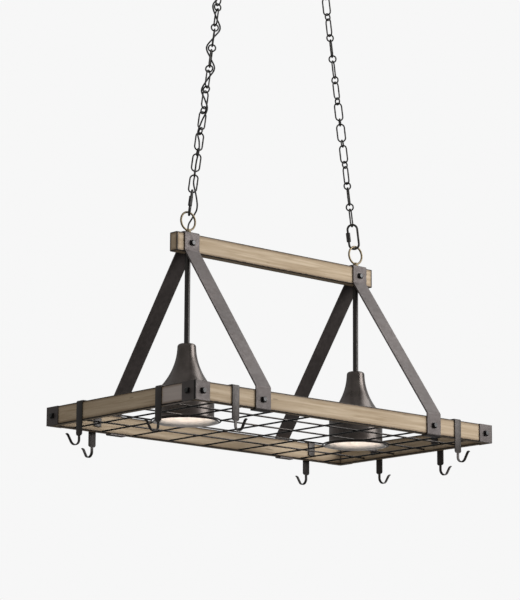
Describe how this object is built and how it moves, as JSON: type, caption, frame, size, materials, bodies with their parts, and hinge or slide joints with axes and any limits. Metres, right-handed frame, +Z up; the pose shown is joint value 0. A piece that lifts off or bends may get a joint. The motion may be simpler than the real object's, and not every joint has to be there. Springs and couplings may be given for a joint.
{
  "type": "hanging pot rack",
  "caption": "Hanging pot rack: wooden frame with a wire grid, bell lamps, sliding flat hooks and a top beam on strap yokes, hung by chains from a ceiling canopy.",
  "frame": {"origin": "middle of the ceiling canopy's top face, in the plane of the ceiling", "axes": "+Z up towards the ceiling, X along the long rails and the top beam, Y across the frame, the front rail at -Y"},
  "size_m": [1.1562, 0.6922, 1.4668],
  "materials": {
    "distressed_wood": "worn, light tan with dark brown edges",
    "pewter_metal": "satin dark pewter",
    "black_bolts": "satin black",
    "black_wire": "satin black",
    "bronze_shade": "satin dark bronze",
    "antique_brass": "antique, dull",
    "zinc_steel": "plated",
    "lamp_socket": "glazed",
    "frosted_glass": "frosted white",
    "dark_chain": "satin dark bronze",
    "cord_jacket": "matt black",
    "black_hooks": "satin black"
  },
  "bodies": {
    "ceiling": {"ceiling_canopy": "bronze_shade", "canopy_loops": "antique_brass", "mounting_bar": "zinc_steel", "bar_nuts": "zinc_steel", "cord_top": "cord_jacket"},
    "chains": {"left_chain_links": "dark_chain", "left_chain_rings": "dark_chain", "right_chain_links": "dark_chain", "right_chain_rings": "dark_chain", "left_quick_link": "dark_chain", "right_quick_link": "dark_chain", "cord_woven": "cord_jacket"},
    "left_sleeve": {"left_sleeve_nut": "dark_chain"},
    "right_sleeve": {"right_sleeve_nut": "dark_chain"},
    "hook_front_left": {"hook_front_left": "black_hooks"},
    "hook_front_right": {"hook_front_right": "black_hooks"},
    "hook_back_left": {"hook_back_left": "black_hooks"},
    "hook_back_right": {"hook_back_right": "black_hooks"},
    "hook_left_front": {"hook_left_front": "black_hooks"},
    "hook_left_back": {"hook_left_back": "black_hooks"},
    "hook_right_front": {"hook_right_front": "black_hooks"},
    "hook_right_back": {"hook_right_back": "black_hooks"},
    "rack": {"rail_front": "distressed_wood", "rail_back": "distressed_wood", "rail_left": "distressed_wood", "rail_right": "distressed_wood", "bracket_front_left": "pewter_metal", "bracket_front_right": "pewter_metal", "bracket_back_left": "pewter_metal", "bracket_back_right": "pewter_metal", "corner_bolts": "black_bolts", "long_wires": "black_wire", "cross_wires": "black_wire", "shade_rings": "black_wire", "top_beam": "distressed_wood", "left_yoke": "pewter_metal", "right_yoke": "pewter_metal", "rail_bolts": "black_bolts", "beam_bolts": "black_bolts", "left_downrod": "pewter_metal", "right_downrod": "pewter_metal", "left_shade": "bronze_shade", "right_shade": "bronze_shade", "threaded_pipes": "zinc_steel", "cap_nuts": "zinc_steel", "left_socket": "lamp_socket", "right_socket": "lamp_socket", "left_bulb": "frosted_glass", "right_bulb": "frosted_glass", "left_eye": "antique_brass", "right_eye": "antique_brass", "cord_tail": "cord_jacket"}
  },
  "joints": [
    {"name": "chains_swing", "type": "hinge", "parent": "ceiling", "child": "chains", "pos_m": [0, 0, -0.0823], "axis": [1, 0, 0], "range_deg": [-25, 25]},
    {"name": "rack_swing", "type": "hinge", "parent": "chains", "child": "rack", "pos_m": [0, 0, -0.83749], "axis": [1, 0, 0], "range_deg": [-20, 20]},
    {"name": "left_sleeve_slide", "type": "slide", "parent": "chains", "child": "left_sleeve", "axis": [0.1564, 0, 0.9877], "range_m": [-0.007, 0.007]},
    {"name": "right_sleeve_slide", "type": "slide", "parent": "chains", "child": "right_sleeve", "axis": [-0.1564, 0, 0.9877], "range_m": [-0.007, 0.007]},
    {"name": "hook_front_left_slide", "type": "slide", "parent": "rack", "child": "hook_front_left", "axis": [1, 0, 0], "range_m": [-0.073, 0.0547]},
    {"name": "hook_front_right_slide", "type": "slide", "parent": "rack", "child": "hook_front_right", "axis": [1, 0, 0], "range_m": [-0.0547, 0.073]},
    {"name": "hook_back_left_slide", "type": "slide", "parent": "rack", "child": "hook_back_left", "axis": [1, 0, 0], "range_m": [-0.092, 0.0357]},
    {"name": "hook_back_right_slide", "type": "slide", "parent": "rack", "child": "hook_back_right", "axis": [1, 0, 0], "range_m": [-0.0547, 0.073]},
    {"name": "hook_left_front_slide", "type": "slide", "parent": "rack", "child": "hook_left_front", "axis": [0, 1, 0], "range_m": [-0.079, 0.147]},
    {"name": "hook_left_back_slide", "type": "slide", "parent": "rack", "child": "hook_left_back", "axis": [0, 1, 0], "range_m": [-0.147, 0.079]},
    {"name": "hook_right_front_slide", "type": "slide", "parent": "rack", "child": "hook_right_front", "axis": [0, 1, 0], "range_m": [-0.136, 0.09]},
    {"name": "hook_right_back_slide", "type": "slide", "parent": "rack", "child": "hook_right_back", "axis": [0, 1, 0], "range_m": [-0.126, 0.1]}
  ]
}
